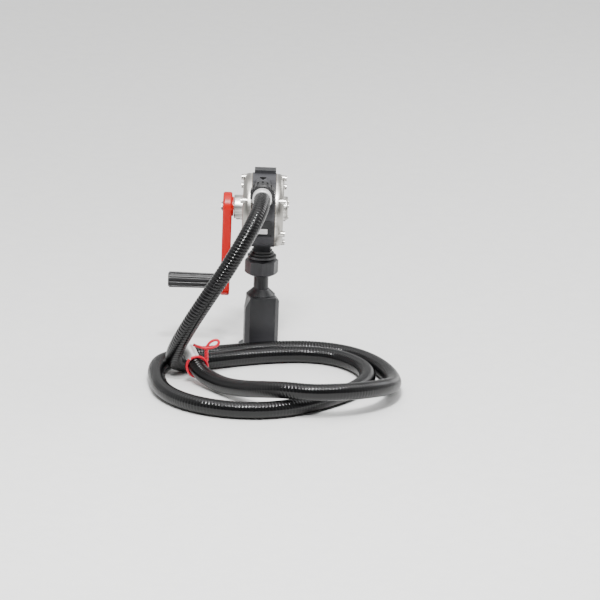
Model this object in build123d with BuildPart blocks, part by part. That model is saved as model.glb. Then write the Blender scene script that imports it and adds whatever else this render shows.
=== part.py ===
"""Hand-cranked rotary vane pump for 200 litre drums, with its bung adapter, hose and suction tube.

Millimetres, +Z up. The origin is on the axis of the bung adapter, in the plane where its
flange seals on the drum bung. The crank is on the -X side and the outlet points to -Y.
"""
import math
import os

from build123d import *

# ---------------------------------------------------------------- driving dimensions
# bung adapter, standing on the drum bung
BUNG_THREAD_R = 29.8        # G2 external thread, major radius
BUNG_THREAD_LENGTH = 18.0
THREAD_RELIEF_R = 28.3      # undercut between the thread and the flange
THREAD_RELIEF = 2.5         # its height below the seat
SEAT_FLANGE_R = 32.0
SEAT_FLANGE_TOP = 9.0
BUNG_GASKET = 2.0           # thickness of the ring under the flange
SLEEVE_TURN = 10.0          # degrees that the flats of the sleeve are turned from square
SLEEVE_HALF = 26.3          # half across the long flats
PANEL_HALF = 19.6           # half width of each long flat
SIDE_DEPTH = 7.0            # how far in front of the middle the side walls end
SLEEVE_CORE_R = 22.4
SLEEVE_CORE_TOP = 90.0
PANEL_TOP = 89.5
LEFT_WING_TOP = 72.0
RIGHT_WING_TOP = 84.0
NECK_R = 11.5
NECK_BOTTOM = 99.0

# union between adapter and pump
UNION_BOTTOM = 121.0
UNION_TOP = 148.5
UNION_FLATS = 47.8
UNION_WALL = 2.8
UNION_CAVITY_R = 19.0
SPIGOT_R = 18.5
SPIGOT_BOTTOM = 129.0
WATERWAY_R = 8.5

# pump head: shaft along X
HEAD_Z = 224.5              # axis of the housing bore
SHAFT_Z = 228.0             # axis of the rotor, above the bore axis
HEAD_R = 57.0
CHAMBER_R = 44.0
HEAD_HALF = 18.5            # half the width of the housing
GASKET = 0.5
COVER_R = 56.0
COVER_INNER = HEAD_HALF + GASKET
LEFT_FACE = 32.0            # distance of the left cover's face from the middle plane
RIGHT_FACE = 31.0
BOLT_CIRCLE_R = 51.0
BOLT_COUNT = 6
SCREW_R = 2.5
BOSS_R = 18.2               # seal housing and bearing cap
SEAL_HOUSING_END = 45.3
BEARING_CAP_END = 37.3
ROTOR_R = 40.0
ROTOR_HALF = 18.2
VANE_COUNT = 4
VANE_THICK = 3.0
VANE_INNER_R = 21.0
SHAFT_R = 6.0
BUSH_R = 9.9
RUNNING = 0.05              # radial running clearance

# outlet
OUTLET_Z = 266.0
OUTLET_X = -2.0
OUTLET_BOSS_R = 15.5
OUTLET_SPIGOT_R = 13.5
RING_R = 19.0
RING_BACK = 54.0            # distances from the shaft axis towards -Y
RING_FRONT = 78.0
SPIGOT_END = 66.0
FERRULE_R = 14.7
HOSE_START = 96.0
HOSE_R = 13.0

# crank
CRANK_LENGTH = 120.5
HUB_R = 22.3
ARM_END_R = 14.0
ARM_PAST_GRIP = 8.0
CRANK_INNER = 48.4
CRANK_OUTER = 62.4
CRANK_BOSS_R = 15.0
SQUARE = 9.0                # drive square on the shaft end
GRIP_R = 12.4
GRIP_INNER = 66.0
GRIP_OUTER = 142.0
GRIP_PIN_R = 4.5

# telescopic suction tube, pushed in
TUBE_TOP = 48.0
OUTER_TUBE_R = 17.0
MIDDLE_TUBE_R = 15.0
INNER_TUBE_R = 13.2
TUBE_WALL = 1.4
OUTER_TUBE_BOTTOM = -300.0
MIDDLE_TUBE_BOTTOM = -322.0
INNER_TUBE_BOTTOM = -342.0
STRAINER_BOTTOM = -360.0

# route of the hose: centreline points, in the order that the oil flows
HOSE_ROUTE = [
    (-2, -96, 266), (-2, -122, 266), (-6, -152, 260), (-17, -178, 242), (-33, -196, 215),
    (-53, -207, 182), (-74, -211, 149), (-93, -209, 117), (-109, -202, 87), (-121, -189, 60),
    (-128, -172, 38), (-127, -153, 22), (-116, -137, 14.5), (-96, -127, 13), (-70, -112, 13),
    (-34, -93, 13), (4, -76, 13), (42, -64, 13), (80, -60, 13), (116, -69, 13),
    (147, -97, 13), (167, -137, 13), (169, -181, 13), (155, -224, 13), (129, -266, 13),
    (95, -306, 13), (56, -340, 13), (10, -360, 13), (-38, -361, 13), (-84, -345, 13),
    (-120, -313, 13), (-143, -270, 13), (-151, -220, 13), (-155, -170, 13), (-147, -124, 13),
    (-112, -92, 13), (-64, -75, 13), (-16, -54, 13), (33, -38, 13), (84, -31, 13),
    (132, -45, 13), (170, -80, 13), (195, -128, 13), (207, -182, 15), (207, -236, 22),
    (193, -282, 32), (163, -320, 38), (124, -343, 41), (84, -351, 41), (44, -342, 41),
    (10, -317, 33), (-20, -282, 22), (-48, -246, 14.5), (-73, -214, 15.5), (-88, -196, 21.5),
    (-94, -184.5, 29.5),
]
SPOUT_LENGTH = 30.0
SPOUT_R = 10.0
TIE_R = 2.0

os.makedirs("parts", exist_ok=True)


def save(part, name):
    """Label a finished piece and write it under its own name."""
    part.label = name
    export_step(part, f"parts/{name}.step")


def across(x, z=SHAFT_Z):
    """Plane square to the shaft at distance x, its normal along +X."""
    return Plane(origin=(x, 0, z), x_dir=(0, 1, 0), z_dir=(1, 0, 0))


def outlet_plane(distance):
    """Plane square to the outlet, its normal along -Y."""
    return Plane(origin=(OUTLET_X, -distance, OUTLET_Z), x_dir=(1, 0, 0), z_dir=(0, -1, 0))


def ring(plane, outer_r, inner_r, length, edge=0.0):
    """Plain ring that stands on a plane, with an optional chamfer on its outer edges."""
    with BuildPart() as made:
        with BuildSketch(plane):
            Circle(outer_r)
            Circle(inner_r, mode=Mode.SUBTRACT)
        extrude(amount=length)
        if edge:
            rims = made.edges().filter_by(GeomType.CIRCLE)
            chamfer([rim for rim in rims if abs(rim.radius - outer_r) < 0.01], edge)
    return made.part


def cover_bolts(x):
    """Places of the cover screws on a plane square to the shaft."""
    angles = [90 + i * 360 / BOLT_COUNT for i in range(BOLT_COUNT)]
    return [
        Plane(
            origin=(x, BOLT_CIRCLE_R * math.cos(math.radians(a)),
                    HEAD_Z + BOLT_CIRCLE_R * math.sin(math.radians(a))),
            x_dir=(0, 1, 0), z_dir=(1, 0, 0))
        for a in angles
    ]


# ---------------------------------------------------------------- bung adapter
# gasket under the seat flange
save(ring(Plane.XY, SEAT_FLANGE_R, THREAD_RELIEF_R + 0.1, BUNG_GASKET), "bung_gasket")

# threaded fitting: thread below the seat, knurled flange and an inner sleeve above it
FITTING_TOP = 44.0
INNER_SLEEVE_R = 20.0
with BuildPart() as bung_fitting:
    with BuildSketch(Plane.XY.offset(-BUNG_THREAD_LENGTH)):
        Circle(BUNG_THREAD_R)
    extrude(amount=BUNG_THREAD_LENGTH - THREAD_RELIEF)
    with BuildSketch(Plane.XY.offset(-THREAD_RELIEF)):
        Circle(THREAD_RELIEF_R)
    extrude(amount=THREAD_RELIEF + BUNG_GASKET)
    with BuildSketch(Plane.XY.offset(BUNG_GASKET)):
        Circle(SEAT_FLANGE_R)
    extrude(amount=SEAT_FLANGE_TOP - BUNG_GASKET)
    with BuildSketch(Plane.XY.offset(SEAT_FLANGE_TOP)):
        Circle(INNER_SLEEVE_R - 0.2)
    extrude(amount=FITTING_TOP - SEAT_FLANGE_TOP)
    chamfer(bung_fitting.edges().group_by(Axis.Z)[0], 1.5)
    KNURLS = 36
    with BuildSketch(Plane.XY.offset(BUNG_GASKET)):
        with PolarLocations(SEAT_FLANGE_R + 0.4, KNURLS):
            Circle(1.1)
    extrude(amount=SEAT_FLANGE_TOP - BUNG_GASKET, mode=Mode.SUBTRACT)
    with BuildSketch(Plane.XY.offset(-BUNG_THREAD_LENGTH)):
        Circle(OUTER_TUBE_R + RUNNING)
    extrude(amount=FITTING_TOP + BUNG_THREAD_LENGTH, mode=Mode.SUBTRACT)
save(bung_fitting.part, "bung_fitting")

# outer sleeve: faceted front with uneven shoulders, round core and a cone up to the neck
turn = math.radians(SLEEVE_TURN)
facing = Vector(math.sin(turn), -math.cos(turn), 0)
sideways = Vector(math.cos(turn), math.sin(turn), 0)
with BuildPart() as adapter_sleeve:
    with BuildSketch(Plane(origin=(0, 0, SEAT_FLANGE_TOP), x_dir=sideways, z_dir=(0, 0, 1))):
        with BuildLine():
            Polyline(
                (-PANEL_HALF, -SLEEVE_HALF), (PANEL_HALF, -SLEEVE_HALF), (SLEEVE_HALF, -PANEL_HALF),
                (SLEEVE_HALF, -SIDE_DEPTH), (-SLEEVE_HALF, -SIDE_DEPTH), (-SLEEVE_HALF, -PANEL_HALF),
                close=True)
        make_face()
        Circle(SLEEVE_CORE_R)
        make_hull()
    extrude(amount=PANEL_TOP - SEAT_FLANGE_TOP)
    # the side walls end lower than the front panel, the left one lowest
    with BuildSketch(Plane(origin=(0, 0, 0), x_dir=sideways, z_dir=facing)):
        with BuildLine():
            Polyline(
                (-SLEEVE_HALF, SEAT_FLANGE_TOP), (SLEEVE_HALF, SEAT_FLANGE_TOP),
                (SLEEVE_HALF, RIGHT_WING_TOP), (PANEL_HALF, PANEL_TOP),
                (-PANEL_HALF, PANEL_TOP), (-SLEEVE_HALF, LEFT_WING_TOP), close=True)
        make_face()
    extrude(amount=SLEEVE_HALF + 5, both=True, mode=Mode.INTERSECT)
    upper_edges = adapter_sleeve.edges().filter_by_position(Axis.Z, LEFT_WING_TOP - 1, PANEL_TOP + 1)
    fillet(upper_edges, 1.2)
    with BuildSketch(Plane.XY.offset(SEAT_FLANGE_TOP)):
        Circle(SLEEVE_CORE_R)
    extrude(amount=SLEEVE_CORE_TOP - SEAT_FLANGE_TOP)
    with BuildSketch(Plane.XY.offset(SLEEVE_CORE_TOP)):
        Circle(SLEEVE_CORE_R)
    with BuildSketch(Plane.XY.offset(NECK_BOTTOM)):
        Circle(NECK_R + 1.2)
    loft()
    # room for the fitting's inner sleeve, then the bore for the riser
    with BuildSketch(Plane.XY.offset(SEAT_FLANGE_TOP)):
        Circle(INNER_SLEEVE_R)
    extrude(amount=FITTING_TOP + 18 - SEAT_FLANGE_TOP, mode=Mode.SUBTRACT)
    with BuildSketch(Plane.XY.offset(SEAT_FLANGE_TOP)):
        Circle(NECK_R + RUNNING)
    extrude(amount=NECK_BOTTOM - SEAT_FLANGE_TOP, mode=Mode.SUBTRACT)
save(adapter_sleeve.part, "adapter_sleeve")

# rubber ring that seals the riser inside the sleeve
WEDGE_BOTTOM = 50.0
WEDGE_TOP = 61.5
save(ring(Plane.XY.offset(WEDGE_BOTTOM), INNER_SLEEVE_R - 0.3, NECK_R + 0.1,
          WEDGE_TOP - WEDGE_BOTTOM, 1.5), "riser_seal")

# riser: the neck between the adapter and the union, with a collar for the union nut
COLLAR_BOTTOM = UNION_BOTTOM + UNION_WALL + 0.1
COLLAR_THICK = 3.0
with BuildPart() as riser_tube:
    with BuildSketch(Plane.XY.offset(WEDGE_BOTTOM)):
        Circle(NECK_R)
    extrude(amount=COLLAR_BOTTOM - WEDGE_BOTTOM)
    with BuildSketch(Plane.XY.offset(COLLAR_BOTTOM)):
        Circle(SPIGOT_R)
    extrude(amount=COLLAR_THICK)
    with BuildSketch(Plane.XY.offset(WEDGE_BOTTOM)):
        Circle(WATERWAY_R)
    extrude(amount=COLLAR_BOTTOM + COLLAR_THICK - WEDGE_BOTTOM, mode=Mode.SUBTRACT)
save(riser_tube.part, "riser_tube")

# ---------------------------------------------------------------- union
with BuildPart() as union_nut:
    with BuildSketch(Plane.XY.offset(UNION_BOTTOM)):
        RegularPolygon(UNION_FLATS / 2, 8, major_radius=False, rotation=4)
    extrude(amount=UNION_TOP - UNION_BOTTOM)
    # the corners are turned down at both ends
    CORNER_R = UNION_FLATS / 2 / math.cos(math.pi / 8)
    END_CUT = 4.4
    END_INSET = 7.5
    with BuildSketch(Plane.XZ, mode=Mode.PRIVATE) as corner_profile:
        with BuildLine():
            Polyline(
                (0, UNION_BOTTOM), (CORNER_R - END_INSET, UNION_BOTTOM),
                (CORNER_R + 0.1, UNION_BOTTOM + END_CUT),
                (CORNER_R + 0.1, UNION_TOP - END_CUT), (CORNER_R - END_INSET, UNION_TOP), (0, UNION_TOP),
                close=True)
        make_face()
    revolve(corner_profile.sketch, Axis.Z, mode=Mode.INTERSECT)
    with BuildSketch(Plane.XY.offset(UNION_BOTTOM)):
        Circle(NECK_R + 0.3)
    extrude(amount=UNION_WALL, mode=Mode.SUBTRACT)
    with BuildSketch(Plane.XY.offset(UNION_BOTTOM + UNION_WALL)):
        Circle(UNION_CAVITY_R)
    extrude(amount=UNION_TOP - UNION_BOTTOM - UNION_WALL, mode=Mode.SUBTRACT)
save(union_nut.part, "union_nut")

save(ring(Plane.XY.offset(COLLAR_BOTTOM + COLLAR_THICK), SPIGOT_R - 0.3, WATERWAY_R + 0.5,
          SPIGOT_BOTTOM - COLLAR_BOTTOM - COLLAR_THICK), "union_seal")

# ---------------------------------------------------------------- pump housing
STEPS = [(148.8, 152.5, 22.4), (152.5, 156.5, 18.8), (156.5, 161.0, 16.0)]   # bottom, top, radius
INLET_R = 14.0
PAD_HALF = 12.5             # half width of the rib that carries the rating plate
PAD_FACE = 58.0
PLATE_WIDTH = 18.5
PLATE_HEIGHT = 7.8
LUG_HALF = 16.5
LUG_TOP = 286.5
with BuildPart() as pump_body:
    with BuildSketch(across(-HEAD_HALF, HEAD_Z)):
        Circle(HEAD_R)
    extrude(amount=2 * HEAD_HALF)
    # inlet neck with its stepped flange and the threaded spigot inside the union nut
    with BuildSketch(Plane.XY.offset(SPIGOT_BOTTOM)):
        Circle(SPIGOT_R)
    extrude(amount=STEPS[0][0] - SPIGOT_BOTTOM)
    for bottom, top, radius in STEPS:
        with BuildSketch(Plane.XY.offset(bottom)):
            Circle(radius)
        extrude(amount=top - bottom)
    with BuildSketch(Plane.XY.offset(STEPS[-1][1])):
        Circle(INLET_R)
    extrude(amount=40)
    # rib from the neck up the front of the housing
    with BuildSketch(Plane.YZ.offset(-PAD_HALF)):
        with BuildLine():
            Polyline(
                (0, 161), (-17, 161), (-46, 193), (-PAD_FACE, 201), (-PAD_FACE, 222),
                (-PAD_FACE + 8, 226), (0, 226), close=True)
        make_face()
    extrude(amount=2 * PAD_HALF)
    # lug on the top
    with BuildSketch(Plane.XY.offset(HEAD_Z)):
        with Locations((1, 12)):
            Rectangle(2 * LUG_HALF, 20)
    extrude(amount=LUG_TOP - HEAD_Z)
    # outlet boss and threaded spigot
    with BuildSketch(outlet_plane(20)):
        Circle(OUTLET_BOSS_R)
    extrude(amount=RING_BACK - 20 - 0.4)
    with BuildSketch(outlet_plane(RING_BACK - 0.4)):
        Circle(OUTLET_SPIGOT_R)
    extrude(amount=SPIGOT_END - RING_BACK + 0.4)
    # chamber and waterways
    with BuildSketch(across(-HEAD_HALF, HEAD_Z)):
        Circle(CHAMBER_R)
    extrude(amount=2 * HEAD_HALF, mode=Mode.SUBTRACT)
    with BuildSketch(Plane.XY.offset(SPIGOT_BOTTOM)):
        Circle(WATERWAY_R)
    extrude(amount=HEAD_Z - CHAMBER_R + 10 - SPIGOT_BOTTOM, mode=Mode.SUBTRACT)
    with BuildSketch(outlet_plane(8)):
        Circle(WATERWAY_R)
    extrude(amount=SPIGOT_END - 8, mode=Mode.SUBTRACT)
    # tapped holes for the cover screws
    for side in (-1, 1):
        for place in cover_bolts(side * HEAD_HALF):
            with BuildSketch(place):
                Circle(SCREW_R + 0.1)
            extrude(amount=-side * 13, mode=Mode.SUBTRACT)
save(pump_body.part, "pump_body")

# blank rating plate on the rib
with BuildPart() as rating_plate:
    with BuildSketch(Plane.XZ.offset(PAD_FACE)):
        with Locations((-1.6, 205.8)):
            RectangleRounded(PLATE_WIDTH, PLATE_HEIGHT, 0.8)
    extrude(amount=0.5)
save(rating_plate.part, "rating_plate")

# ---------------------------------------------------------------- covers
RIM_ROUND = 9.5
DISH_R = 33.0               # shallow recess in the face of each cover
DISH_DEPTH = 2.5
BOLT_BOSS_R = 4.9
BORE_R = BUSH_R + RUNNING


def cover(side, face):
    """Dished end cover with six screw bosses; side is -1 for the left one and 1 for the right one."""
    thick = face - COVER_INNER
    with BuildPart() as made:
        with BuildSketch(across(side * COVER_INNER, HEAD_Z)):
            Circle(COVER_R)
        extrude(amount=side * thick)
        outer_edge = made.edges().filter_by(GeomType.CIRCLE).sort_by(Axis.X)[-1 if side > 0 else 0]
        fillet(outer_edge, RIM_ROUND)
        for place in cover_bolts(side * COVER_INNER):
            with BuildSketch(place):
                Circle(BOLT_BOSS_R)
            extrude(amount=side * thick)
        with BuildSketch(across(side * (face - DISH_DEPTH), HEAD_Z)):
            Circle(DISH_R + 8)
            Circle(DISH_R, mode=Mode.SUBTRACT)
        extrude(amount=side * (DISH_DEPTH + 1), mode=Mode.SUBTRACT)
        with BuildSketch(across(side * COVER_INNER)):
            Circle(BORE_R)
        extrude(amount=side * thick, mode=Mode.SUBTRACT)
        for place in cover_bolts(side * COVER_INNER):
            with BuildSketch(place):
                Circle(SCREW_R + 0.3)
            extrude(amount=side * thick, mode=Mode.SUBTRACT)
    return made.part


def gasket(side):
    """Flat gasket between housing and cover."""
    with BuildPart() as made:
        with BuildSketch(across(side * HEAD_HALF, HEAD_Z)):
            Circle(COVER_R)
            Circle(CHAMBER_R, mode=Mode.SUBTRACT)
        extrude(amount=side * GASKET)
        for place in cover_bolts(side * HEAD_HALF):
            with BuildSketch(place):
                Circle(SCREW_R + 0.3)
            extrude(amount=side * GASKET, mode=Mode.SUBTRACT)
    return made.part


def cover_screws(side, face):
    """Six socket-head screws that hold one cover."""
    with BuildPart() as made:
        for place in cover_bolts(side * face):
            with BuildSketch(place):
                Circle(4.3)
            extrude(amount=side * 3.4)
            with BuildSketch(place):
                Circle(SCREW_R)
            extrude(amount=-side * (face - HEAD_HALF + 11))
            with BuildSketch(place.offset(side * 3.4)):
                RegularPolygon(2.1, 6)
            extrude(amount=-side * 2.0, mode=Mode.SUBTRACT)
    return made.part


for side, name, face in ((-1, "left", LEFT_FACE), (1, "right", RIGHT_FACE)):
    save(cover(side, face), f"{name}_cover")
    save(gasket(side), f"{name}_cover_gasket")
    save(cover_screws(side, face), f"{name}_cover_screws")

save(ring(across(-LEFT_FACE + 0.5), BUSH_R, SHAFT_R + RUNNING, LEFT_FACE - COVER_INNER - 1), "left_bush")
save(ring(across(COVER_INNER + 0.5), BUSH_R, SHAFT_R + RUNNING, RIGHT_FACE - COVER_INNER - 1), "right_bush")

# seal housing on the crank side, with the lip seal inside and a set screw below
SEAL_BORE_R = 11.0
with BuildPart() as seal_housing:
    with BuildSketch(across(-SEAL_HOUSING_END)):
        Circle(BOSS_R)
    extrude(amount=SEAL_HOUSING_END - LEFT_FACE)
    fillet(seal_housing.edges().filter_by(GeomType.CIRCLE).sort_by(Axis.X)[0], 1.5)
    with BuildSketch(across(-SEAL_HOUSING_END + 2)):
        Circle(SEAL_BORE_R)
    extrude(amount=SEAL_HOUSING_END - 2 - LEFT_FACE, mode=Mode.SUBTRACT)
    with BuildSketch(across(-SEAL_HOUSING_END)):
        Circle(SHAFT_R + 0.5)
    extrude(amount=3, mode=Mode.SUBTRACT)
    with BuildSketch(Plane(origin=(-38.5, 0, SHAFT_Z - BOSS_R - 1), z_dir=(0, 0, 1))):
        Circle(1.8)
    extrude(amount=6, mode=Mode.SUBTRACT)
save(seal_housing.part, "seal_housing")

with BuildPart() as seal_housing_screw:
    with BuildSketch(Plane(origin=(-38.5, 0, SHAFT_Z - BOSS_R - 1.6), z_dir=(0, 0, 1))):
        Circle(3.2)
    extrude(amount=1.5)
    with BuildSketch(Plane(origin=(-38.5, 0, SHAFT_Z - BOSS_R - 0.1), z_dir=(0, 0, 1))):
        Circle(1.7)
    extrude(amount=5)
save(seal_housing_screw.part, "seal_housing_screw")

save(ring(across(-SEAL_HOUSING_END + 3), SEAL_BORE_R - 0.05, SHAFT_R + RUNNING, 8.0), "shaft_seal")

# bearing cap on the far side
with BuildPart() as bearing_cap:
    with BuildSketch(across(RIGHT_FACE)):
        Circle(BOSS_R)
    extrude(amount=BEARING_CAP_END - RIGHT_FACE)
    fillet(bearing_cap.edges().filter_by(GeomType.CIRCLE).sort_by(Axis.X)[-1], 2.0)
    with BuildSketch(across(RIGHT_FACE)):
        Circle(BUSH_R)
    extrude(amount=3.5, mode=Mode.SUBTRACT)
    with BuildSketch(across(RIGHT_FACE)):
        with PolarLocations(14, 3, start_angle=-90):
            Circle(1.8)
    extrude(amount=BEARING_CAP_END - RIGHT_FACE, mode=Mode.SUBTRACT)
save(bearing_cap.part, "bearing_cap")

with BuildPart() as bearing_cap_screws:
    with BuildSketch(across(BEARING_CAP_END)):
        with PolarLocations(14, 3, start_angle=-90):
            Circle(3.0)
    extrude(amount=1.6)
    with BuildSketch(across(BEARING_CAP_END)):
        with PolarLocations(14, 3, start_angle=-90):
            Circle(1.7)
    extrude(amount=-(BEARING_CAP_END - RIGHT_FACE))
save(bearing_cap_screws.part, "bearing_cap_screws")

# ---------------------------------------------------------------- rotor, vanes and shaft
KEY = 4.0
KEY_HALF = 12.0
with BuildPart() as rotor:
    with BuildSketch(across(-ROTOR_HALF)):
        Circle(ROTOR_R)
        Circle(SHAFT_R + 0.02, mode=Mode.SUBTRACT)
        with PolarLocations((ROTOR_R + VANE_INNER_R) / 2, VANE_COUNT):
            Rectangle(ROTOR_R - VANE_INNER_R + 1, VANE_THICK + 0.2, mode=Mode.SUBTRACT)
        with Locations((0, SHAFT_R)):
            Rectangle(KEY + 0.1, KEY + 0.1, mode=Mode.SUBTRACT)
    extrude(amount=2 * ROTOR_HALF)
save(rotor.part, "rotor")

with BuildPart() as vanes:
    with BuildSketch(across(-ROTOR_HALF)):
        with PolarLocations((ROTOR_R + VANE_INNER_R) / 2, VANE_COUNT):
            Rectangle(ROTOR_R - VANE_INNER_R, VANE_THICK)
    extrude(amount=2 * ROTOR_HALF)
save(vanes.part, "vanes")

SHAFT_FAR_END = 33.0
with BuildPart() as shaft:
    with BuildSketch(across(-SEAL_HOUSING_END - 0.5)):
        Circle(SHAFT_R)
    extrude(amount=SHAFT_FAR_END + SEAL_HOUSING_END + 0.5)
    with BuildSketch(across(-CRANK_OUTER + 1)):
        Rectangle(SQUARE, SQUARE)
    extrude(amount=CRANK_OUTER - 1 - SEAL_HOUSING_END - 0.5)
    with BuildSketch(across(-CRANK_OUTER + 1)):
        Circle(3.1)
    extrude(amount=14, mode=Mode.SUBTRACT)
    with BuildSketch(across(-KEY_HALF)):
        with Locations((0, SHAFT_R)):
            Rectangle(KEY + 0.1, KEY + 0.1)
    extrude(amount=2 * KEY_HALF, mode=Mode.SUBTRACT)
    chamfer(shaft.edges().filter_by(GeomType.CIRCLE).sort_by(Axis.X)[-1], 1)
save(shaft.part, "shaft")

with BuildPart() as shaft_key:
    with BuildSketch(across(-KEY_HALF)):
        with Locations((0, SHAFT_R)):
            Rectangle(KEY, KEY)
    extrude(amount=2 * KEY_HALF)
save(shaft_key.part, "shaft_key")

# ---------------------------------------------------------------- crank
GRIP_Z = SHAFT_Z - CRANK_LENGTH
ARM_ROUND = 3.0
with BuildPart() as crank_arm:
    with BuildSketch(across(-CRANK_OUTER)):
        Circle(HUB_R)
        with Locations((0, -CRANK_LENGTH - ARM_PAST_GRIP)):
            Circle(ARM_END_R)
        make_hull()
    extrude(amount=CRANK_OUTER - CRANK_INNER)
    fillet(crank_arm.faces().filter_by(Axis.X).edges(), ARM_ROUND)
    with BuildSketch(across(-CRANK_INNER)):
        Circle(CRANK_BOSS_R)
    extrude(amount=CRANK_INNER - SEAL_HOUSING_END - 0.8)
    with BuildSketch(across(-CRANK_OUTER, GRIP_Z)):
        Circle(9)
    extrude(amount=-2.6)
    with BuildSketch(across(-CRANK_OUTER)):
        Rectangle(SQUARE + 0.1, SQUARE + 0.1)
    extrude(amount=CRANK_OUTER, mode=Mode.SUBTRACT)
    with BuildSketch(across(-CRANK_OUTER - 2.6, GRIP_Z)):
        Circle(GRIP_PIN_R - 0.5)
    extrude(amount=CRANK_OUTER, mode=Mode.SUBTRACT)
save(crank_arm.part, "crank_arm")

WASHER = 1.0
save(ring(across(-CRANK_OUTER - WASHER), 7.5, 3.2, WASHER), "crank_washer")

with BuildPart() as crank_screw:
    with BuildSketch(across(-CRANK_OUTER - WASHER)):
        RegularPolygon(5, 6, major_radius=False)
    extrude(amount=-1.8)
    with BuildSketch(across(-CRANK_OUTER - WASHER)):
        Circle(3.0)
    extrude(amount=13)
save(crank_screw.part, "crank_screw")

# grip pin: shank in the arm, bearing length in the grip and a head under the end cap
with BuildPart() as grip_pin:
    with BuildSketch(across(-GRIP_OUTER + 8, GRIP_Z)):
        Circle(GRIP_PIN_R)
    extrude(amount=GRIP_OUTER - 8 - CRANK_OUTER - 2.7)
    with BuildSketch(across(-CRANK_OUTER - 2.7, GRIP_Z)):
        Circle(GRIP_PIN_R - 0.6)
    extrude(amount=CRANK_OUTER - CRANK_INNER + 2.7)
    with BuildSketch(across(-GRIP_OUTER + 8, GRIP_Z)):
        Circle(7)
    extrude(amount=-3)
save(grip_pin.part, "grip_pin")

FLUTES = 12
FLUTE_R = 1.9
FLUTE_OUT = 0.5             # how far outside the grip's surface the flute cutter is centred
GRIP_TAPER = 0.8
with BuildPart() as grip:
    with BuildSketch(across(-GRIP_OUTER, GRIP_Z)):
        Circle(GRIP_R)
        with PolarLocations(GRIP_R + FLUTE_OUT, FLUTES):
            Circle(FLUTE_R, mode=Mode.SUBTRACT)
    with BuildSketch(across(-GRIP_INNER, GRIP_Z)):
        Circle(GRIP_R - GRIP_TAPER)
        with PolarLocations(GRIP_R - GRIP_TAPER + FLUTE_OUT, FLUTES):
            Circle(FLUTE_R, mode=Mode.SUBTRACT)
    loft()
    with BuildSketch(across(-GRIP_OUTER, GRIP_Z)):
        Circle(GRIP_PIN_R + 0.1)
    extrude(amount=GRIP_OUTER, mode=Mode.SUBTRACT)
    with BuildSketch(across(-GRIP_OUTER, GRIP_Z)):
        Circle(7.5)
    extrude(amount=8.2, mode=Mode.SUBTRACT)
save(grip.part, "grip")

with BuildPart() as grip_cap:
    with BuildSketch(across(-GRIP_OUTER, GRIP_Z)):
        Circle(GRIP_R - 1.6)
    extrude(amount=-1.6)
    with BuildSketch(across(-GRIP_OUTER, GRIP_Z)):
        Circle(7.4)
    extrude(amount=3)
    chamfer(grip_cap.edges().filter_by(GeomType.CIRCLE).sort_by(Axis.X)[0], 0.8)
save(grip_cap.part, "grip_cap")

# ---------------------------------------------------------------- outlet
RING_LIP = 6.0              # thickness of the lip that pulls the hose tail in
NOTCHES = 16
with BuildPart() as outlet_ring:
    with BuildSketch(outlet_plane(RING_BACK)):
        Circle(RING_R)
    extrude(amount=RING_FRONT - RING_BACK)
    front_rim = outlet_ring.edges().filter_by(GeomType.CIRCLE).sort_by(Axis.Y)[0]
    chamfer(front_rim, 2.2)
    with BuildSketch(outlet_plane(RING_BACK + 3)):
        with PolarLocations(RING_R, NOTCHES):
            Rectangle(2.6, 3.0)
    extrude(amount=RING_FRONT - RING_BACK - 3, mode=Mode.SUBTRACT)
    with BuildSketch(outlet_plane(RING_BACK)):
        Circle(OUTLET_SPIGOT_R + 0.3)
    extrude(amount=RING_FRONT - RING_BACK - RING_LIP, mode=Mode.SUBTRACT)
    with BuildSketch(outlet_plane(RING_BACK)):
        Circle(10.0)
    extrude(amount=RING_FRONT - RING_BACK, mode=Mode.SUBTRACT)
save(outlet_ring.part, "outlet_ring")

save(ring(outlet_plane(SPIGOT_END), OUTLET_SPIGOT_R - 0.2, WATERWAY_R + 0.3, 1.8), "outlet_seal")

TAIL_R = 9.4
with BuildPart() as hose_tail:
    with BuildSketch(outlet_plane(SPIGOT_END + 1.8)):
        Circle(OUTLET_SPIGOT_R)
    extrude(amount=3.6)
    with BuildSketch(outlet_plane(SPIGOT_END + 1.8)):
        Circle(TAIL_R)
    extrude(amount=HOSE_START - SPIGOT_END - 1.8 - 0.2)
    with BuildSketch(outlet_plane(SPIGOT_END + 1.8)):
        Circle(TAIL_R - 1.8)
    extrude(amount=HOSE_START, mode=Mode.SUBTRACT)
save(hose_tail.part, "hose_tail")

save(ring(outlet_plane(RING_FRONT + 0.6), FERRULE_R, TAIL_R + 0.1,
          HOSE_START - RING_FRONT - 0.8, 1.0), "hose_ferrule")

# ---------------------------------------------------------------- hose
points = [Vector(*p) for p in HOSE_ROUTE]
radii = []
for before, here, after in zip(points, points[1:], points[2:]):
    turn = math.radians((here - before).get_angle(after - here))
    shorter = min((here - before).length, (after - here).length)
    radii.append(0.45 * shorter / math.tan(turn / 2))
with BuildPart() as hose:
    with BuildLine():
        route = FilletPolyline(*points, radius=radii)
    with BuildSketch(Plane(origin=route @ 0, z_dir=route % 0)):
        Circle(HOSE_R)
    sweep()
save(hose.part, "hose")
print("hose bend radii", [round(r) for r in radii])
print("hose length", round(route.length), "volume ratio",
      round(hose.part.volume / (math.pi * HOSE_R ** 2 * route.length), 4))

# spout in the free end of the hose
end = points[-1]
along = (points[-1] - points[-2]).normalized()
spout_plane = Plane(origin=end + along * 0.1, z_dir=along)
with BuildPart() as spout:
    with BuildSketch(spout_plane):
        Circle(HOSE_R)
        Circle(SPOUT_R - 2.5, mode=Mode.SUBTRACT)
    extrude(amount=3)
    with BuildSketch(spout_plane.offset(3)):
        Circle(SPOUT_R)
        Circle(SPOUT_R - 2.5, mode=Mode.SUBTRACT)
    extrude(amount=SPOUT_LENGTH - 3)
save(spout.part, "spout")

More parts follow.
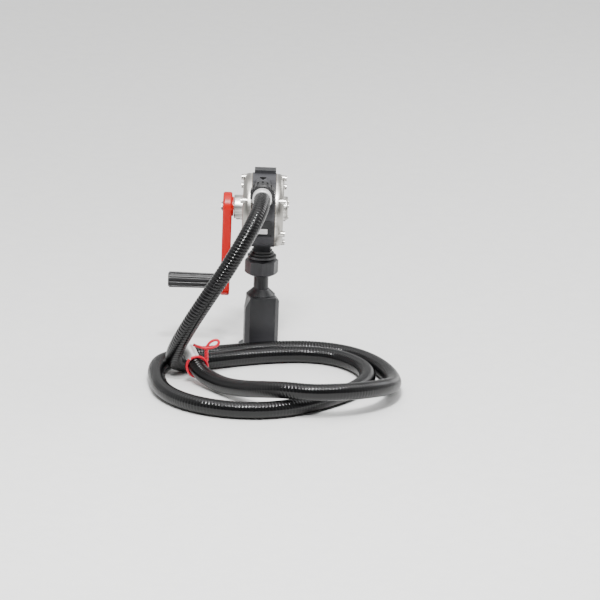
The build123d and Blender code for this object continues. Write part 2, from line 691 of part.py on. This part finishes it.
# coated wire tie: a loop round the hose, a twisted stem, a bow and a tail
tie_middle = end - along * 9
TIE_LOOP_R = HOSE_R + TIE_R + 0.3
to_stem = Vector(1, 0, 0.5)
to_stem = (to_stem - along * to_stem.dot(along)).normalized()
stem_foot = tie_middle + to_stem * TIE_LOOP_R
stem_top = stem_foot + Vector(-1, -1, 22)
bow_end = stem_top + Vector(19, 0, 9)
tail_end = stem_top + Vector(-20, 0, 3)
tie_plane = Plane(origin=tie_middle, x_dir=to_stem, z_dir=to_stem.cross(along))
with BuildPart() as hose_tie:
    with BuildSketch(tie_plane):
        with Locations((TIE_LOOP_R, 0)):
            Circle(TIE_R)
    revolve(axis=Axis(tie_middle, along))
    for start, stop in ((stem_foot, stem_top), (stem_top, bow_end), (stem_top, tail_end)):
        run = stop - start
        with BuildSketch(Plane(origin=start, z_dir=run)):
            Circle(TIE_R)
        extrude(amount=run.length)
    with Locations(stem_top):
        Sphere(TIE_R + 0.6)
save(hose_tie.part, "hose_tie")

# ---------------------------------------------------------------- telescopic suction tube
save(ring(Plane.XY.offset(OUTER_TUBE_BOTTOM), OUTER_TUBE_R, OUTER_TUBE_R - TUBE_WALL,
          TUBE_TOP - OUTER_TUBE_BOTTOM), "suction_tube_outer")
save(ring(Plane.XY.offset(MIDDLE_TUBE_BOTTOM), MIDDLE_TUBE_R, MIDDLE_TUBE_R - TUBE_WALL,
          -20 - MIDDLE_TUBE_BOTTOM), "suction_tube_middle")
save(ring(Plane.XY.offset(INNER_TUBE_BOTTOM), INNER_TUBE_R, INNER_TUBE_R - TUBE_WALL,
          -30 - INNER_TUBE_BOTTOM), "suction_tube_inner")


def tube_collar(bottom, tube_bottom, tube_r, next_r, outer_r):
    """Guide collar on the end of one tube; the next, thinner tube slides through it."""
    with BuildPart() as made:
        with BuildSketch(Plane.XY.offset(bottom)):
            Circle(outer_r)
            Circle(next_r + 0.1, mode=Mode.SUBTRACT)
        extrude(amount=tube_bottom - bottom + 12)
        with BuildSketch(Plane.XY.offset(tube_bottom)):
            Circle(tube_r + 0.02)
        extrude(amount=13, mode=Mode.SUBTRACT)
        # groove for the sealing ring
        with BuildSketch(Plane.XY.offset(bottom + 2)):
            Circle(next_r + 1.4)
        extrude(amount=2.4, mode=Mode.SUBTRACT)
        chamfer(made.edges().filter_by(GeomType.CIRCLE).group_by(SortBy.RADIUS)[-1], 0.8)
    return made.part


OUTER_COLLAR_BOTTOM = OUTER_TUBE_BOTTOM - 7
MIDDLE_COLLAR_BOTTOM = MIDDLE_TUBE_BOTTOM - 7
save(tube_collar(OUTER_COLLAR_BOTTOM, OUTER_TUBE_BOTTOM, OUTER_TUBE_R, MIDDLE_TUBE_R, 19.5),
     "outer_tube_collar")
save(tube_collar(MIDDLE_COLLAR_BOTTOM, MIDDLE_TUBE_BOTTOM, MIDDLE_TUBE_R, INNER_TUBE_R, 17.5),
     "middle_tube_collar")
save(ring(Plane.XY.offset(OUTER_COLLAR_BOTTOM + 2.1), MIDDLE_TUBE_R + 1.3, MIDDLE_TUBE_R + 0.1, 2.2),
     "outer_tube_seal")
save(ring(Plane.XY.offset(MIDDLE_COLLAR_BOTTOM + 2.1), INNER_TUBE_R + 1.3, INNER_TUBE_R + 0.1, 2.2),
     "middle_tube_seal")

# strainer foot with slots round its lower end
STRAINER_R = 16.0
with BuildPart() as foot_strainer:
    with BuildSketch(Plane.XY.offset(STRAINER_BOTTOM)):
        Circle(STRAINER_R)
    extrude(amount=INNER_TUBE_BOTTOM + 8 - STRAINER_BOTTOM)
    with BuildSketch(Plane.XY.offset(INNER_TUBE_BOTTOM)):
        Circle(INNER_TUBE_R + 0.02)
    extrude(amount=9, mode=Mode.SUBTRACT)
    with BuildSketch(Plane.XY.offset(STRAINER_BOTTOM + 2)):
        Circle(STRAINER_R - 3)
    extrude(amount=INNER_TUBE_BOTTOM - STRAINER_BOTTOM, mode=Mode.SUBTRACT)
    with BuildSketch(Plane.XY.offset(STRAINER_BOTTOM - 1)):
        with PolarLocations(STRAINER_R, 8):
            Rectangle(8, 4)
    extrude(amount=11, mode=Mode.SUBTRACT)
save(foot_strainer.part, "foot_strainer")
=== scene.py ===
"""Looks for the drum barrel pump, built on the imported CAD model. Metres, +Z up."""
import math

import bmesh
import bpy
from mathutils import Matrix, Vector


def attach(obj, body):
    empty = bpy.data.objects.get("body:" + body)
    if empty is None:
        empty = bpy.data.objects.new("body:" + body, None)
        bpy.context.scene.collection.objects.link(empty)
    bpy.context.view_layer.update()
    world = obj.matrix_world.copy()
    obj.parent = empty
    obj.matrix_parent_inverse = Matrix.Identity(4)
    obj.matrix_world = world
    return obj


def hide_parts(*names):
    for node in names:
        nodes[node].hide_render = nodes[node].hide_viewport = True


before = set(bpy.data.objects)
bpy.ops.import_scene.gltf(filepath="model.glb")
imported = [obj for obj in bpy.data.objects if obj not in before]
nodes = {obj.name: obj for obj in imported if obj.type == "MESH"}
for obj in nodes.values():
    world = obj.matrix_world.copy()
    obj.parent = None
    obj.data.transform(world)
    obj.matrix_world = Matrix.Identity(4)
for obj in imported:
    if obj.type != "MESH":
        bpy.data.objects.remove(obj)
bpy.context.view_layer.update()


# ---------------------------------------------------------------- camera
def make_camera():
    """Long lens, straight at the outlet side, looking down a little and tilted a little."""
    elevation = math.radians(16.4)
    lean = math.radians(2.1)
    distance = 10.0
    # the pump stands left of the picture's middle and above it
    shift_right = 0.0642
    shift_up = 0.0760
    right = Vector((1, 0, 0))
    up = Vector((0, math.sin(elevation), math.cos(elevation)))
    back = Vector((0, -math.cos(elevation), math.sin(elevation)))
    x = right * math.cos(lean) + up * math.sin(lean)
    y = up * math.cos(lean) - right * math.sin(lean)
    data = bpy.data.cameras.new("camera")
    data.lens = 387
    data.clip_end = 200
    camera = bpy.data.objects.new("camera", data)
    turn = Matrix((x, y, back)).transposed().to_4x4()
    place = back * distance + x * shift_right + y * shift_up
    camera.matrix_world = Matrix.Translation(place) @ turn
    bpy.context.scene.collection.objects.link(camera)
    bpy.context.scene.camera = camera


make_camera()

# ---------------------------------------------------------------- materials


def new_material(name):
    """Empty node material with its shader, a texture coordinate and the links list."""
    material = bpy.data.materials.new(name)
    material.use_nodes = True
    tree = material.node_tree
    shader = tree.nodes["Principled BSDF"]
    where = tree.nodes.new("ShaderNodeTexCoord").outputs["Object"]
    return material, tree, shader, where


def noise(tree, where, scale, detail=4.0):
    """Noise texture; scale is in features per metre."""
    node = tree.nodes.new("ShaderNodeTexNoise")
    node.inputs["Scale"].default_value = scale
    node.inputs["Detail"].default_value = detail
    tree.links.new(where, node.inputs["Vector"])
    return node.outputs["Fac"]


def spread(tree, value, low, high):
    """Map a noise value, mostly 0.3 to 0.7, on to low to high."""
    node = tree.nodes.new("ShaderNodeMapRange")
    node.inputs["From Min"].default_value = 0.3
    node.inputs["From Max"].default_value = 0.7
    node.inputs["To Min"].default_value = low
    node.inputs["To Max"].default_value = high
    tree.links.new(value, node.inputs["Value"])
    return node.outputs["Result"]


def blend_colours(tree, factor, first, second):
    """Mix from the first colour to the second one."""
    node = tree.nodes.new("ShaderNodeMix")
    node.data_type = "RGBA"
    node.inputs["A"].default_value = (*first, 1)
    node.inputs["B"].default_value = (*second, 1)
    tree.links.new(factor, node.inputs["Factor"])
    return node.outputs["Result"]


def add_bump(tree, shader, height, strength, distance):
    """Bump under the shader's normal."""
    node = tree.nodes.new("ShaderNodeBump")
    node.inputs["Strength"].default_value = strength
    node.inputs["Distance"].default_value = distance
    tree.links.new(height, node.inputs["Height"])
    tree.links.new(node.outputs["Normal"], shader.inputs["Normal"])


def worn_edges(tree, colour, edge_colour, start=0.53, end=0.6):
    """Lighter colour on convex edges."""
    geometry = tree.nodes.new("ShaderNodeNewGeometry")
    ramp = tree.nodes.new("ShaderNodeMapRange")
    ramp.inputs["From Min"].default_value = start
    ramp.inputs["From Max"].default_value = end
    tree.links.new(geometry.outputs["Pointiness"], ramp.inputs["Value"])
    mix = tree.nodes.new("ShaderNodeMix")
    mix.data_type = "RGBA"
    mix.inputs["B"].default_value = (*edge_colour, 1)
    tree.links.new(ramp.outputs["Result"], mix.inputs["Factor"])
    tree.links.new(colour, mix.inputs["A"])
    return mix.outputs["Result"]


def surface(name, dark, light, rough, grain, bump, metallic=0.0, gloss=0.5, mottle=40, edges=None):
    """Material with mottled colour, uneven roughness and a fine bump.

    rough is a (low, high) pair, grain the bump's features per metre, bump its height in metres,
    gloss the strength of a non-metal's reflections.
    """
    material, tree, shader, where = new_material(name)
    shader.inputs["Metallic"].default_value = metallic
    shader.inputs["Specular IOR Level"].default_value = gloss
    patches = spread(tree, noise(tree, where, mottle), 0.0, 1.0)
    colour = blend_colours(tree, patches, dark, light)
    if edges:
        colour = worn_edges(tree, colour, edges)
    tree.links.new(colour, shader.inputs["Base Color"])
    tree.links.new(spread(tree, noise(tree, where, mottle * 3), *rough), shader.inputs["Roughness"])
    add_bump(tree, shader, noise(tree, where, grain, 3.0), 0.6, bump)
    return material


def turned_metal(name, dark, light, rough, across="Z"):
    """Metal with fine turning lines round the given axis."""
    material, tree, shader, where = new_material(name)
    shader.inputs["Metallic"].default_value = 1.0
    patches = spread(tree, noise(tree, where, 60), 0.0, 1.0)
    tree.links.new(blend_colours(tree, patches, dark, light), shader.inputs["Base Color"])
    tree.links.new(spread(tree, noise(tree, where, 200), *rough), shader.inputs["Roughness"])
    stretch = tree.nodes.new("ShaderNodeMapping")
    fine, coarse = 1500, 8
    stretch.inputs["Scale"].default_value = [fine if axis == across else coarse for axis in "XYZ"]
    tree.links.new(where, stretch.inputs["Vector"])
    add_bump(tree, shader, noise(tree, stretch.outputs["Vector"], 1.0, 2.0), 0.5, 0.00005)
    return material


black_paint = surface("black_paint", (0.008, 0.0085, 0.0095), (0.012, 0.0125, 0.014), (0.32, 0.46),
                      900, 0.00010, gloss=0.4, edges=(0.05, 0.05, 0.055))
black_plastic = surface("black_plastic", (0.008, 0.008, 0.009), (0.013, 0.013, 0.014), (0.30, 0.44),
                        1400, 0.00004)
cast_alloy = surface("cast_alloy", (0.34, 0.33, 0.305), (0.40, 0.39, 0.365), (0.30, 0.36),
                     2600, 0.00001, metallic=1.0, edges=(0.80, 0.79, 0.76))
red_paint = surface("red_paint", (0.42, 0.0012, 0.0006), (0.47, 0.0018, 0.001), (0.28, 0.36),
                    700, 0.00001, gloss=0.3, mottle=15)
zinc = surface("zinc", (0.44, 0.43, 0.41), (0.56, 0.55, 0.52), (0.20, 0.34),
               2000, 0.00003, metallic=1.0)
dark_steel = surface("dark_steel", (0.10, 0.10, 0.10), (0.18, 0.18, 0.18), (0.30, 0.44),
                     2000, 0.00003, metallic=1.0)
hose_rubber = surface("hose_rubber", (0.003, 0.003, 0.0032), (0.005, 0.005, 0.0053), (0.13, 0.18),
                      1600, 0.000002, gloss=0.34)
mark_shade = surface("mark_shade", (0.001, 0.001, 0.001), (0.002, 0.002, 0.002), (0.80, 0.90),
                     900, 0.00002, gloss=0.1)
tie_coat = surface("tie_coat", (0.56, 0.004, 0.022), (0.62, 0.006, 0.030), (0.32, 0.42),
                   900, 0.00005, gloss=0.35)
plate_print = surface("plate_print", (0.88, 0.88, 0.87), (0.92, 0.92, 0.91), (0.40, 0.55),
                      900, 0.00002)
seal_rubber = surface("seal_rubber", (0.018, 0.018, 0.018), (0.03, 0.03, 0.03), (0.55, 0.75),
                      1500, 0.0001)
gasket_sheet = surface("gasket_sheet", (0.20, 0.16, 0.11), (0.30, 0.24, 0.17), (0.7, 0.9),
                       1800, 0.0001)
rotor_iron = surface("rotor_iron", (0.18, 0.18, 0.19), (0.30, 0.30, 0.31), (0.3, 0.5),
                     800, 0.0001, metallic=1.0)
vane_resin = surface("vane_resin", (0.10, 0.07, 0.05), (0.16, 0.12, 0.09), (0.4, 0.6),
                     900, 0.0001)
bronze = surface("bronze", (0.48, 0.32, 0.14), (0.60, 0.42, 0.20), (0.25, 0.4),
                 900, 0.0001, metallic=1.0)
spout_metal = surface("spout_metal", (0.80, 0.80, 0.79), (0.88, 0.88, 0.87), (0.28, 0.42),
                      1200, 0.00005, metallic=0.4)
tube_steel = turned_metal("tube_steel", (0.50, 0.50, 0.51), (0.62, 0.62, 0.63), (0.22, 0.38))
shaft_steel = turned_metal("shaft_steel", (0.50, 0.50, 0.51), (0.62, 0.62, 0.63), (0.2, 0.35), "X")

finishes = {
    black_paint: ["pump_body", "union_nut", "adapter_sleeve", "bung_fitting", "riser_tube"],
    cast_alloy: ["left_cover", "right_cover", "seal_housing", "bearing_cap"],
    zinc: ["left_cover_screws", "right_cover_screws", "seal_housing_screw", "bearing_cap_screws",
           "grip_pin"],
    dark_steel: ["crank_screw", "crank_washer"],
    spout_metal: ["hose_ferrule", "hose_tail", "spout"],
    red_paint: ["crank_arm"],
    black_plastic: ["grip", "grip_cap", "outlet_ring", "outer_tube_collar", "middle_tube_collar",
                    "foot_strainer"],
    plate_print: ["rating_plate"],
    seal_rubber: ["bung_gasket", "riser_seal", "union_seal", "shaft_seal", "outlet_seal", "outer_tube_seal",
                  "middle_tube_seal"],
    gasket_sheet: ["left_cover_gasket", "right_cover_gasket"],
    tube_steel: ["suction_tube_outer", "suction_tube_middle", "suction_tube_inner"],
    shaft_steel: ["shaft", "shaft_key"],
    rotor_iron: ["rotor"],
    vane_resin: ["vanes"],
    bronze: ["left_bush", "right_bush"],
}
for material, names in finishes.items():
    for name in names:
        slots = nodes[name].data.materials
        slots.clear()
        slots.append(material)

# ---------------------------------------------------------------- hose
HOSE_R = 0.013
RIB_PITCH = 0.0050
RIB_DEPTH = 0.0006
RINGS_PER_RIB = 8
LINE_FINENESS = 24          # points per control point on the fine line that the rings are set out from
HOSE_ROUTE = [
    (-0.002, -0.096, 0.266), (-0.002, -0.122, 0.266), (-0.006, -0.152, 0.260), (-0.017, -0.178, 0.242),
    (-0.033, -0.196, 0.215), (-0.053, -0.207, 0.182), (-0.074, -0.211, 0.149), (-0.093, -0.209, 0.117),
    (-0.109, -0.202, 0.087), (-0.121, -0.189, 0.060), (-0.128, -0.172, 0.038), (-0.127, -0.153, 0.022),
    (-0.116, -0.137, 0.0145), (-0.096, -0.127, 0.013), (-0.070, -0.112, 0.013), (-0.034, -0.093, 0.013),
    (0.004, -0.076, 0.013), (0.042, -0.064, 0.013), (0.080, -0.060, 0.013), (0.116, -0.069, 0.013),
    (0.147, -0.097, 0.013), (0.167, -0.137, 0.013), (0.169, -0.181, 0.013), (0.155, -0.224, 0.013),
    (0.129, -0.266, 0.013), (0.095, -0.306, 0.013), (0.056, -0.340, 0.013), (0.010, -0.360, 0.013),
    (-0.038, -0.361, 0.013), (-0.084, -0.345, 0.013), (-0.120, -0.313, 0.013), (-0.143, -0.270, 0.013),
    (-0.151, -0.220, 0.013), (-0.155, -0.170, 0.013), (-0.147, -0.124, 0.013), (-0.112, -0.092, 0.013),
    (-0.064, -0.075, 0.013), (-0.016, -0.054, 0.013), (0.033, -0.038, 0.013), (0.084, -0.031, 0.013),
    (0.132, -0.045, 0.013), (0.170, -0.080, 0.013), (0.195, -0.128, 0.013), (0.207, -0.182, 0.015),
    (0.207, -0.236, 0.022), (0.193, -0.282, 0.032), (0.163, -0.320, 0.038), (0.124, -0.343, 0.041),
    (0.084, -0.351, 0.041), (0.044, -0.342, 0.041), (0.010, -0.317, 0.033), (-0.020, -0.282, 0.022),
    (-0.048, -0.246, 0.0145), (-0.073, -0.214, 0.0155), (-0.088, -0.196, 0.0215), (-0.094, -0.1845, 0.0295),
]


def nurbs_points(name, route, resolution):
    """Points along the NURBS spline that has the route as its control points."""
    curve = bpy.data.curves.new(name, "CURVE")
    curve.dimensions = "3D"
    spline = curve.splines.new("NURBS")
    spline.points.add(len(route) - 1)
    for point, place in zip(spline.points, route):
        point.co = (*place, 1)
    spline.order_u = 3
    spline.use_endpoint_u = True
    spline.resolution_u = resolution
    carrier = bpy.data.objects.new(name, curve)
    bpy.context.scene.collection.objects.link(carrier)
    bpy.context.view_layer.update()
    mesh = bpy.data.meshes.new_from_object(carrier)
    points = [vertex.co.copy() for vertex in mesh.vertices]
    bpy.data.objects.remove(carrier)
    bpy.data.meshes.remove(mesh)
    return points


def evenly(points, step):
    """Points about step apart along a fine polyline."""
    travelled = [0.0]
    for before, after in zip(points, points[1:]):
        travelled.append(travelled[-1] + (after - before).length)
    count = round(travelled[-1] / step)
    made = []
    segment = 0
    for i in range(count + 1):
        target = travelled[-1] * i / count
        while segment < len(points) - 2 and travelled[segment + 1] < target:
            segment += 1
        span = travelled[segment + 1] - travelled[segment]
        share = (target - travelled[segment]) / span if span else 0.0
        made.append(points[segment].lerp(points[segment + 1], share))
    return made, travelled[-1]


def new_piece(name, mesh, material, body):
    """Object for a finished mesh that rides on a CAD body."""
    piece = bpy.data.objects.new(name, mesh)
    bpy.context.scene.collection.objects.link(piece)
    if material:
        mesh.materials.append(material)
    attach(piece, body)
    return piece


def ribbed_tube(name, points, step, radius, pitch, depth, sides=24):
    """Tube with a narrow spiral groove between its ribs; its rings are carried along without twist."""
    mesh = bpy.data.meshes.new(name)
    vertices = []
    faces = []
    tangent = (points[1] - points[0]).normalized()
    side = tangent.orthogonal().normalized()
    last = len(points) - 1
    for i, point in enumerate(points):
        ahead = (points[min(i + 1, last)] - points[max(i - 1, 0)]).normalized()
        side = (tangent.rotation_difference(ahead) @ side)
        side = (side - ahead * side.dot(ahead)).normalized()
        tangent = ahead
        other = tangent.cross(side)
        for j in range(sides):
            angle = 2 * math.pi * j / sides
            phase = i * step / pitch - j / sides
            valley = 0.5 - 0.5 * math.cos(2 * math.pi * phase)
            r = radius - depth * valley ** 4
            vertices.append(point + side * (r * math.cos(angle)) + other * (r * math.sin(angle)))
    for i in range(last):
        for j in range(sides):
            k = (j + 1) % sides
            faces.append((i * sides + j, i * sides + k, (i + 1) * sides + k, (i + 1) * sides + j))
    faces.append(tuple(range(sides))[::-1])
    faces.append(tuple(last * sides + j for j in range(sides)))
    mesh.from_pydata(vertices, [], faces)
    mesh.polygons.foreach_set("use_smooth", [True] * len(mesh.polygons))
    return mesh


def make_hose():
    """Ribbed hose in place of the plain CAD one, and the line that it follows."""
    fine = nurbs_points("hose_line", HOSE_ROUTE, LINE_FINENESS)
    step = RIB_PITCH / RINGS_PER_RIB
    points, length = evenly(fine, step)
    mesh = ribbed_tube("ribbed_hose", points, length / (len(points) - 1), HOSE_R, RIB_PITCH, RIB_DEPTH)
    hose = new_piece("ribbed_hose", mesh, hose_rubber, "pump")
    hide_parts("hose")
    return hose, points[::2 * RINGS_PER_RIB] + [points[-1]]


hose, hose_line = make_hose()


# ---------------------------------------------------------------- flow mark on the housing
def raised_outline(name, outline, height, radius, place, material):
    """Small raised shape with soft edges, set on a surface by place, a 4x4 matrix."""
    made = bmesh.new()
    ring = [made.verts.new((x, y, 0)) for x, y in outline]
    face = made.faces.new(ring)
    lifted = bmesh.ops.extrude_face_region(made, geom=[face])["geom"]
    for item in lifted:
        if isinstance(item, bmesh.types.BMVert):
            item.co.z += height
    bmesh.ops.recalc_face_normals(made, faces=made.faces)
    bmesh.ops.bevel(made, geom=list(made.edges), offset=radius, segments=2, affect="EDGES",
                    clamp_overlap=True)
    made.transform(place)
    mesh = bpy.data.meshes.new(name)
    made.to_mesh(mesh)
    made.free()
    return new_piece(name, mesh, material, "pump")


def make_flow_mark():
    """Raised triangle on top of the outlet boss, pointing the way the oil leaves."""
    boss_top = Vector((-0.002, -0.0275, 0.2815))
    sunk = 0.0012
    height = 0.0018
    edge_r = 0.0003
    half_turn = Matrix.Diagonal((-1, -1, 1, 1))
    half, length = 0.0050, 0.0140
    outline = [(-half, -length / 2), (half, -length / 2), (0, length / 2)]
    place = Matrix.Translation(boss_top - Vector((0, 0, sunk)))
    mark = raised_outline("flow_mark", outline, height, edge_r, place @ half_turn, mark_shade)


make_flow_mark()


# ---------------------------------------------------------------- tie
def wire(name, splines, radius, material):
    """Round wire along smooth lines, as a mesh piece."""
    curve = bpy.data.curves.new(name, "CURVE")
    curve.dimensions = "3D"
    curve.bevel_depth = radius
    curve.bevel_resolution = 5
    curve.use_fill_caps = True
    for line in splines:
        spline = curve.splines.new("NURBS")
        spline.points.add(len(line) - 1)
        for point, place in zip(spline.points, line):
            point.co = (*place, 1)
        spline.order_u = 3
        spline.use_endpoint_u = True
        spline.resolution_u = 6
    carrier = bpy.data.objects.new(name, curve)
    bpy.context.scene.collection.objects.link(carrier)
    bpy.context.view_layer.update()
    mesh = bpy.data.meshes.new_from_object(carrier)
    bpy.data.objects.remove(carrier)
    mesh.materials.clear()
    mesh.polygons.foreach_set("use_smooth", [True] * len(mesh.polygons))
    return new_piece(name, mesh, material, "pump")


def make_tie():
    """Coated wire: loop round the hose end, two-strand stem, bow and tail."""
    wire_r = 0.0021
    gap = 0.0005
    from_end = 0.0065
    end = Vector(HOSE_ROUTE[-1])
    along = (end - Vector(HOSE_ROUTE[-2])).normalized()
    middle = end - along * from_end
    # the loop isn't square to the hose: it leans by this much towards the outlet side
    lean = math.radians(28)
    outwards = Vector((0, -1, 0.28)).normalized()
    sideways = along.cross(outwards).normalized()
    normal = Matrix.Rotation(lean, 3, sideways) @ -along
    if normal.dot(outwards) < (-along).dot(outwards):
        normal = Matrix.Rotation(-lean, 3, sideways) @ -along
    long_way = (along - normal * along.dot(normal)).normalized()
    short_way = normal.cross(long_way)
    short_r = HOSE_R + wire_r + gap
    long_r = short_r / math.cos(lean)
    loop = []
    loop_steps = 30
    loop_start, loop_sweep, loop_drift = 20, 350, 0.002
    for i in range(loop_steps + 1):
        angle = math.radians(loop_start + loop_sweep * i / loop_steps)
        loop.append(middle + long_way * (long_r * math.cos(angle)) + short_way * (short_r * math.sin(angle))
                    + normal * (loop_drift * i / loop_steps))
    to_stem = Vector((1, 0, 0.5))
    to_stem = (to_stem - along * to_stem.dot(along)).normalized()
    foot = middle + to_stem * (short_r + 2 * gap)
    top = foot + Vector((-0.001, -0.001, 0.022))
    strands = []
    strand_steps = 16
    twists, twist_r = 2.5, 0.0012
    for phase in (0, math.pi):
        strand = []
        for i in range(strand_steps + 1):
            share = i / strand_steps
            angle = phase + 2 * math.pi * twists * share
            offset = Vector((math.cos(angle), math.sin(angle), 0)) * twist_r
            strand.append(foot.lerp(top, share) + offset)
        strands.append(strand)
    bow = [top + Vector(p) for p in (
        (0, 0, 0), (0.003, 0, 0.006), (0.009, 0.001, 0.011), (0.016, 0.002, 0.0125), (0.0195, 0.001, 0.009),
        (0.017, -0.001, 0.004), (0.010, -0.002, 0.001), (0.004, -0.002, 0.000), (-0.002, -0.002, -0.001))]
    tail = [top + Vector(p) for p in (
        (0.003, -0.002, 0), (-0.003, -0.002, -0.001), (-0.009, 0, 0.0005), (-0.015, 0.002, 0.001),
        (-0.020, 0.003, 0.003))]
    tie = wire("wire_tie", [loop, *strands, bow, tail], wire_r, tie_coat)
    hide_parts("hose_tie")
    return tie


tie = make_tie()


# ---------------------------------------------------------------- stage
def make_stage():
    """Wide floor just under the plane that the hose lies on."""
    half = 30
    corners = [(-half, -half, 0), (half, -half, 0), (half, half, 0), (-half, half, 0)]
    mesh = bpy.data.meshes.new("floor")
    mesh.from_pydata(corners, [], [(0, 1, 2, 3)])
    floor = bpy.data.objects.new("floor", mesh)
    floor.location.z = -0.0002
    bpy.context.scene.collection.objects.link(floor)
    paint = surface("floor_paint", (0.84, 0.84, 0.83), (0.87, 0.87, 0.86), (0.5, 0.65), 300, 0.00002)
    mesh.materials.append(paint)


def area_light(name, place, target, size, power):
    """Square light at a place, turned to its target."""
    data = bpy.data.lights.new(name, "AREA")
    data.size = size
    data.energy = power
    light = bpy.data.objects.new(name, data)
    direction = Vector(target) - Vector(place)
    light.matrix_world = Matrix.Translation(place) @ direction.to_track_quat("-Z", "Y").to_matrix().to_4x4()
    bpy.context.scene.collection.objects.link(light)


def sun(name, direction, power, spread_angle):
    """Distant light from the given direction, with soft-edged shadows."""
    data = bpy.data.lights.new(name, "SUN")
    data.energy = power
    data.angle = math.radians(spread_angle)
    light = bpy.data.objects.new(name, data)
    light.rotation_euler = (-Vector(direction)).to_track_quat("-Z", "Y").to_euler()
    bpy.context.scene.collection.objects.link(light)


def make_world(bright, dim):
    """Even studio surround: bright above, behind and at the sides, dim in front of the object."""
    world = bpy.data.worlds.new("studio")
    bpy.context.scene.world = world
    world.use_nodes = True
    tree = world.node_tree
    direction = tree.nodes.new("ShaderNodeTexCoord").outputs["Generated"]
    parts = tree.nodes.new("ShaderNodeSeparateXYZ")
    tree.links.new(direction, parts.inputs["Vector"])
    ramp = tree.nodes.new("ShaderNodeMapRange")
    ramp.interpolation_type = "SMOOTHSTEP"
    dim_until, bright_from = -0.75, -0.15
    ramp.inputs["From Min"].default_value = dim_until
    ramp.inputs["From Max"].default_value = bright_from
    ramp.inputs["To Min"].default_value = dim
    ramp.inputs["To Max"].default_value = bright
    tree.links.new(parts.outputs["Y"], ramp.inputs["Value"])
    tree.links.new(ramp.outputs["Result"], tree.nodes["Background"].inputs["Strength"])
    tree.nodes["Background"].inputs["Color"].default_value = (1, 1, 1, 1)


make_stage()
make_world(0.9, 0.08)
sun("overhead", (-0.2, 0.05, 1.0), 1.1, 40)
area_light("ceiling", (0.5, -0.8, 2.3), (0, -0.2, 0.1), 1.2, 22)
area_light("key", (-0.2, -2.0, 2.4), (0, -0.15, 0.05), 0.45, 70)
area_light("spark", (0.1, -1.35, 2.4), (0, -0.3, 0.02), 0.28, 55)
area_light("rim", (1.6, 1.2, 1.2), (0, -0.05, 0.2), 1.0, 16)
